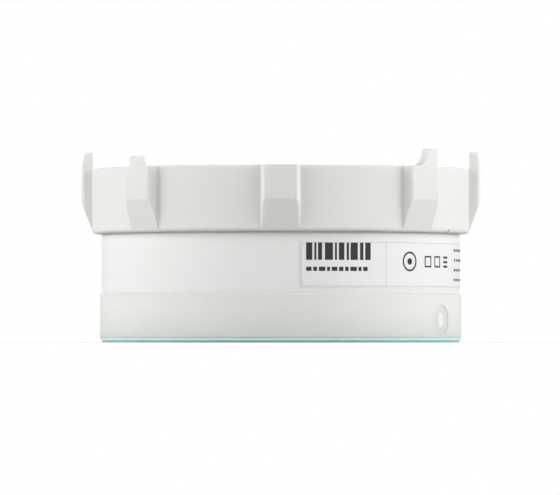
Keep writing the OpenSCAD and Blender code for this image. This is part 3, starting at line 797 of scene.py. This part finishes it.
class SENSOR_OT_inside(Operator):
    """Finish the radar assembly, the boards, the cells and the gasket"""

    bl_idname = "sensor.inside"
    bl_label = "Inner Parts"

    def execute(self, context):
        colours = context.scene.sensor_colours
        steel = brushed("Tinned sheet", srgb(214, 216, 217), 0.35)
        screw = brushed("Zinc-plated steel", srgb(208, 210, 213), 0.3)
        contact = brushed("Nickel-plated spring sheet", srgb(220, 217, 206), 0.3)
        laminate = self.laminate(colours.laminate)
        chip = moulded("Chip epoxy", srgb(40, 40, 42), roughness=0.55)
        give(radar_lens=moulded("Lens plastic", srgb(236, 232, 220), roughness=0.3),
             antenna_horn=brushed("Turned aluminium", srgb(214, 216, 219)),
             radar_board=laminate, main_board=laminate, radar_chip=chip, processor=chip,
             shield_can=steel, radio_module=steel, board_screws=screw, tray_screws=screw,
             board_connector=moulded("Connector plastic", srgb(226, 220, 200), roughness=0.5),
             board_spacers=brushed("Turned brass", srgb(214, 180, 98)),
             pulse_capacitor=moulded("Capacitor sleeve", srgb(52, 66, 120), roughness=0.25, bump=0.05),
             gnss_antenna=moulded("Patch ceramic", srgb(206, 190, 162), roughness=0.5, bump=0.4, grain=2500),
             radio_antenna=brushed("Flex copper", srgb(196, 128, 74), 0.35), nfc_coil=self.coil(),
             battery_tray=moulded("Tray plastic", srgb(92, 95, 99), shade=0.94, roughness=0.5),
             battery_cell_1=self.cell("battery_cell_1", colours.sleeve),
             battery_cell_2=self.cell("battery_cell_2", colours.sleeve),
             plate_contacts=contact, spring_contacts=contact,
             cap_seal=moulded("Gasket rubber", srgb(70, 70, 72), roughness=0.65))
        signs = new_piece("tray_signs", *joined(self.signs()), moulded("Sign ink", srgb(214, 214, 210), roughness=0.6))
        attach(signs, "housing")
        return {"FINISHED"}

    def laminate(self, tone):
        """Solder-resist laminate whose tracks show through as paler lines, in patches that run along X or Y."""
        nodes = moulded_nodes("Board laminate", tone, 0.85, 0.3, 0.3, 900.0)
        tree = nodes[0].node_tree
        place = object_place(tree)
        patch = new_node(tree, "ShaderNodeTexVoronoi", {
            "Vector": place, "Scale": 110.0, "Randomness": 0.7}, distance="CHEBYCHEV").outputs["Color"]
        pick, at = axes_of(tree, patch), axes_of(tree, place)
        turned = maths(tree, "GREATER_THAN", pick["X"], 0.5)
        along = maths(tree, "ADD", at["X"], times(tree, turned, maths(tree, "SUBTRACT", at["Y"], at["X"])))
        line = maths(tree, "LESS_THAN", maths(tree, "FRACT", maths(tree, "DIVIDE", along, TRACK_PITCH)), 0.4)
        mask = times(tree, line, maths(tree, "GREATER_THAN", pick["Y"], 0.3))
        return painted(*nodes, mask, [1.5 * c for c in tone])

    def coil(self):
        """Copper turns side by side on an amber film."""
        values = {"Colour": shaded(srgb(150, 88, 40)), "Shade": shaded(srgb(140, 80, 36)), "Roughness": 0.35}
        nodes = skin_material("Coil", moulded_skin(), values, 0.1)
        tree = nodes[0].node_tree
        low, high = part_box("nfc_coil")
        away = vectors(tree, "ABSOLUTE", vectors(tree, "SUBTRACT", object_place(tree), (low + high) / 2))
        inward = axes_of(tree, vectors(tree, "SUBTRACT", (high - low) / 2, away))
        turns = maths(tree, "DIVIDE", maths(tree, "MINIMUM", inward["X"], inward["Y"]), COIL_PITCH)
        mask = maths(tree, "GREATER_THAN", maths(tree, "FRACT", turns), 0.4)
        return painted(*nodes, mask, srgb(226, 166, 118), metallic=1.0)

    def cell(self, node, tone):
        """A plastic sleeve that leaves the flat metal ends bare but for their rims."""
        nodes = moulded_nodes("Sleeve of " + node, tone, 0.9, 0.25, 0.05)
        low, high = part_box(node)
        mask = new_node(nodes[0].node_tree, "ShaderNodeGroup", {
            "Middle": (low + high) / 2, "Reach": BARE_END * (high.z - low.z)}, node_tree=near_axis())
        return painted(*nodes, mask.outputs["Mask"], srgb(220, 217, 206), metallic=1.0)

    def signs(self):
        """A plus or minus printed on the tray at each end of each cell."""
        deck = span("battery_tray", 2)[1]
        side, arm, half = 31.5 * MM, 1.4 * MM, 0.35 * MM
        foot, top = deck - 0.05 * MM, deck + 0.05 * MM
        parts = []
        for node, plus in (("battery_cell_1", side), ("battery_cell_2", -side)):
            y = sum(span(node, 1)) / 2
            for left, right, reach in ((plus - half, plus + half, arm), (plus - arm, plus - half, half),
                                       (plus + half, plus + arm, half), (-plus - half, -plus + half, arm)):
                parts.append(block((left, y - reach, foot), (right, y + reach, top)))
        return parts


class SENSOR_OT_board_parts(Operator):
    """Set the small parts of the main board in rows with Geometry Nodes, clear of its larger parts"""

    bl_idname = "sensor.board_parts"
    bl_label = "Small Board Parts"

    def execute(self, context):
        larger = bpy.data.collections.new("larger_parts")
        for node in ("processor", "radio_module", "pulse_capacitor", "gnss_antenna", "board_screws"):
            larger.objects.link(NODES[node])
        body = moulded("Small part body", srgb(58, 52, 48), roughness=0.5)
        ends = brushed("Small part ends", srgb(180, 180, 178), 0.45)
        for name, slot, material, size, copies, apart in (
                ("small_part_bodies", "chip_black", body, (1.5, 0.9, 0.5), 1, 0.0),
                ("small_part_ends", "sheet_steel", ends, (0.4, 1.0, 0.56), 2, 1.6)):
            piece = grown(name, "board_parts", self.blocks, {
                "Top": BOARD_TOP, "Reach": BOARD_R - 2 * MM, "Rows": 24, "Clearance": 1.8 * MM, "Keep Out": larger,
                "Size": Vector(size) * MM, "Copies": copies, "Apart": apart * MM, "Share": 0.55, "Seed": 7,
                "Material": material})
            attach(piece, "housing")
        bpy.data.collections.remove(larger)
        return {"FINISHED"}

    def blocks(self, tree, given):
        """Blocks on a share of a grid's points, each turned along X or Y."""
        width = times(tree, given["Reach"], 2.0)
        grid = formed(tree, "MeshGrid", {
            "Size X": width, "Size Y": width, "Vertices X": given["Rows"], "Vertices Y": given["Rows"]})
        points = formed(tree, "SetPosition", {"Geometry": grid, "Offset": xyz(tree, Z=given["Top"])})

        place = formed(tree, "InputPosition")
        out = vectors(tree, "LENGTH", vectors(tree, "MULTIPLY", place, (1, 1, 0)))
        inside = maths(tree, "LESS_THAN", out, given["Reach"])
        others = formed(tree, "CollectionInfo", {"Collection": given["Keep Out"]})
        others = formed(tree, "RealizeInstances", {"Geometry": others})
        distance = new_node(tree, "GeometryNodeProximity", {"Geometry": others}, target_element="FACES")
        clear = maths(tree, "GREATER_THAN", distance.outputs["Distance"], given["Clearance"])
        chosen = maths(tree, "LESS_THAN", random(tree, "FLOAT", given["Seed"]), given["Share"])
        chosen = times(tree, chosen, times(tree, inside, clear))

        height = axes_of(tree, given["Size"])["Z"]
        first = xyz(tree, X=times(tree, given["Apart"], -0.5), Z=times(tree, height, 0.48))
        step = xyz(tree, X=given["Apart"])
        line = formed(tree, "MeshLine", {"Count": given["Copies"], "Start Location": first, "Offset": step})
        cube = formed(tree, "MeshCube", {"Size": given["Size"]})
        side = random(tree, "FLOAT", maths(tree, "ADD", given["Seed"], 1))
        quarter = times(tree, maths(tree, "GREATER_THAN", side, 0.5), math.pi / 2)
        parts = copies_on(tree, points, copies_on(tree, line, cube), Selection=chosen, Rotation=xyz(tree, Z=quarter))
        return finish_tree(tree, parts, given["Material"])


class SENSOR_OT_threads(Operator):
    """Make the helical ribs on the neck and inside the cap with Geometry Nodes"""

    bl_idname = "sensor.threads"
    bl_label = "Screw Thread"

    def execute(self, context):
        sizes = context.scene.sensor_thread
        colours = context.scene.sensor_colours
        neck_r, wall_r = self.radii()
        lowest = CAP_LOW + sizes.root
        half_pitch = sizes.lead / sizes.starts / 2
        neck = moulded("Neck thread plastic", colours.housing, shade=0.985, roughness=0.4)
        cap = moulded("Cap thread plastic", colours.cap, shade=0.985, roughness=0.46)
        for name, body, slot, material, radius, depth, height in (
                ("neck_thread", "housing", "housing_plastic", neck, neck_r, sizes.depth, lowest),
                ("cap_thread", "cap", "cap_plastic", cap, wall_r, -sizes.depth, lowest + half_pitch)):
            values = {key.capitalize(): getattr(sizes, key) for key in ("starts", "lead", "turns", "root", "crest")}
            values.update({"Radius": radius, "Depth": depth, "Height": height, "Material": material})
            piece = grown(name, "thread_ribs", self.ribs, values)
            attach(piece, body)
        return {"FINISHED"}

    def radii(self):
        """Outside of the neck, and inside of the cap's ring, read from the CAD nodes' vertices."""
        middle = (GASKET_TOP + CAP_LOW) / 2
        neck = max(math.hypot(v.co.x, v.co.y) for v in NODES["housing_body"].data.vertices if v.co.z > middle)
        wall = min(math.hypot(v.co.x, v.co.y) for v in NODES["closing_cap"].data.vertices
                   if v.co.z < CAP_LOW + NEAR_FOOT)
        return neck, wall

    def ribs(self, tree, given):
        """A spiral with a trapezoid section that fades out at its ends, repeated for each start."""
        rise = times(tree, given["Lead"], given["Turns"])
        spiral = formed(tree, "CurveSpiral", {
            "Resolution": 140, "Rotations": given["Turns"], "Start Radius": given["Radius"],
            "End Radius": given["Radius"], "Height": rise, "Reverse": True})
        upright = formed(tree, "SetCurveNormal", {"Curve": spiral}, mode="Z_UP")
        along = formed(tree, "SplineParameter")
        near_end = maths(tree, "MINIMUM", along, maths(tree, "SUBTRACT", 1.0, along))
        fade = ranged(tree, near_end, 0.0, 0.06, 0.03, 1.0, "SMOOTHSTEP")
        sink = times(tree, given["Depth"], -0.25)
        corners = [xyz(tree, X=depth, Y=times(tree, given[width], share)) for depth, width, share in (
            (sink, "Root", -0.5), (given["Depth"], "Crest", -0.5), (given["Depth"], "Crest", 0.5), (sink, "Root", 0.5))]
        section = formed(tree, "CurvePrimitiveQuadrilateral", {
            "Point %d" % (i + 1): corner for i, corner in enumerate(corners)}, mode="POINTS")
        rib = formed(tree, "CurveToMesh", {
            "Curve": upright, "Profile Curve": section, "Scale": fade, "Fill Caps": True})
        points = formed(tree, "Points", {"Count": given["Starts"], "Position": xyz(tree, Z=given["Height"])})
        step = maths(tree, "DIVIDE", math.tau, given["Starts"])
        turn = times(tree, step, formed(tree, "InputIndex"))
        return finish_tree(tree, copies_on(tree, points, rib, Rotation=xyz(tree, Z=turn)), given["Material"])


SENSOR_WIDTH = 36                # millimetres, for the focal length
CLIP = (0.05, 50)                # nearest and farthest thing that the camera shows
LAMP_AIM = (0, 0, 0.02)
SIDE_LAMP = (0.6, -0.225, 0.25)  # place of the right lamp; the left one stands opposite
SIDE_SIZE = (1.0, 0.5)
BACK_LAMP = (0.0, 0.9, 1.2)
BACK_SIZE = (0.8, 0.8)
FLOOR_HALF = 4.0
FLOOR_TONES = (0.45, 0.85)       # how pale the floor is to its surroundings, and as it is seen
SHADOW_REACH = (1.05, 2.4)       # where the floor's shadow starts to fade and is gone, in housing radii
SHADOW_LIFT = 0.2                # how far the shadow is faded at its darkest


class SENSOR_OT_stage(Operator):
    """Set up the camera, the lamps, the room and the floor"""

    bl_idname = "sensor.stage"
    bl_label = "Camera, Lamps and Floor"

    def execute(self, context):
        scene, stage = context.scene, context.scene.sensor_stage
        scene.view_settings.view_transform = "Standard"
        self.camera(scene, stage)
        self.lamp(scene, "Left lamp", (-SIDE_LAMP[0], *SIDE_LAMP[1:]), SIDE_SIZE, stage.left)
        self.lamp(scene, "Right lamp", SIDE_LAMP, SIDE_SIZE, stage.right)
        self.lamp(scene, "Back lamp", BACK_LAMP, BACK_SIZE, stage.back)
        self.room(scene, stage)
        self.floor(stage)
        return {"FINISHED"}

    def aimed(self, scene, name, data, place, aim):
        """A camera or a lamp at a place, turned towards its aim."""
        item = bpy.data.objects.new(name, data)
        item.location = place
        item.rotation_euler = (Vector(aim) - item.location).to_track_quat("-Z", "Y").to_euler()
        scene.collection.objects.link(item)
        return item

    def camera(self, scene, stage):
        data = bpy.data.cameras.new("Camera")
        data.lens = stage.lens
        data.sensor_width = SENSOR_WIDTH
        data.clip_start, data.clip_end = CLIP
        place, aim = (stage.aside, -stage.distance, stage.eye), (stage.aside, 0, stage.aim)
        scene.camera = self.aimed(scene, "Camera", data, place, aim)

    def lamp(self, scene, name, place, size, power):
        data = bpy.data.lights.new(name, "AREA")
        data.shape = "RECTANGLE"
        data.size, data.size_y = size
        data.energy = power
        lamp = self.aimed(scene, name, data, place, LAMP_AIM)
        lamp.visible_camera = lamp.visible_glossy = False

    def seen(self, tree, mirrored):
        """How white the surroundings look: fully to the camera, a little less in gloss or through glass."""
        path = new_node(tree, "ShaderNodeLightPath").outputs
        shiny = maths(tree, "MAXIMUM", path["Is Glossy Ray"], path["Is Transmission Ray"])
        return maths(tree, "MAXIMUM", path["Is Camera Ray"], times(tree, shiny, mirrored))

    def room(self, scene, stage):
        """Even light from all round, which camera, gloss and glass see as white."""
        world = bpy.data.worlds.new("Room")
        world.use_nodes = True
        tree = world.node_tree
        light = tree.nodes["Background"]
        light.inputs["Color"].default_value = (1, 1, 1, 1)
        seen = self.seen(tree, stage.mirrored)
        tree.links.new(ranged(tree, seen, low=stage.room), light.inputs["Strength"])
        scene.world = world

    def floor(self, stage):
        """A pale floor that keeps the shadow near the object, and is white further out."""
        material, shader = plain_material("Pale floor", {"Roughness": 0.9})
        tree = material.node_tree
        seen = self.seen(tree, stage.mirrored)
        low, high = FLOOR_TONES
        tree.links.new(ranged(tree, seen, low=low, high=high), shader.inputs["Base Color"])
        near, far = (reach * BODY_R for reach in SHADOW_REACH)
        clear = ranged(tree, vectors(tree, "LENGTH", object_place(tree)), near, far, SHADOW_LIFT, 1.0, "SMOOTHSTEP")
        white = new_node(tree, "ShaderNodeEmission", {"Color": (1, 1, 1, 1), "Strength": 1.0}).outputs[0]
        mix = new_node(tree, "ShaderNodeMixShader", {
            0: times(tree, seen, clear), 1: shader.outputs[0], 2: white}).outputs[0]
        tree.links.new(mix, tree.nodes["Material Output"].inputs["Surface"])
        corners = [(x * FLOOR_HALF, y * FLOOR_HALF, 0) for x, y in ((-1, -1), (1, -1), (1, 1), (-1, 1))]
        floor = new_piece("floor", corners, [(0, 1, 2, 3)], material)


OPERATORS = [SENSOR_OT_cap, SENSOR_OT_housing, SENSOR_OT_base, SENSOR_OT_label, SENSOR_OT_inside,
             SENSOR_OT_board_parts, SENSOR_OT_threads, SENSOR_OT_stage]


class SENSOR_PT_panel(Panel):
    """Lists the steps that dress the sensor"""

    bl_idname = "SENSOR_PT_panel"
    bl_label = "Radar Level Sensor"
    bl_space_type = "VIEW_3D"
    bl_region_type = "UI"
    bl_category = "Radar Sensor"

    def draw(self, context):
        for operator in OPERATORS:
            self.layout.operator(operator.bl_idname)
        for name, group in SETTINGS.items():
            box = self.layout.box()
            box.label(text=group.__doc__)
            for key in group.__annotations__:
                box.prop(getattr(context.scene, name), key)


CLASSES = [*SETTINGS.values(), *OPERATORS, SENSOR_PT_panel]


def register():
    for item in CLASSES:
        bpy.utils.register_class(item)
    for name, group in SETTINGS.items():
        setattr(bpy.types.Scene, name, PointerProperty(type=group))


def unregister():
    for name in SETTINGS:
        delattr(bpy.types.Scene, name)
    for item in reversed(CLASSES):
        bpy.utils.unregister_class(item)


def main():
    register()
    bpy.ops.sensor.cap()
    bpy.ops.sensor.housing()
    bpy.ops.sensor.base()
    bpy.ops.sensor.label()
    bpy.ops.sensor.inside()
    bpy.ops.sensor.board_parts()
    bpy.ops.sensor.threads()
    bpy.ops.sensor.stage()


if __name__ == "__main__":
    main()
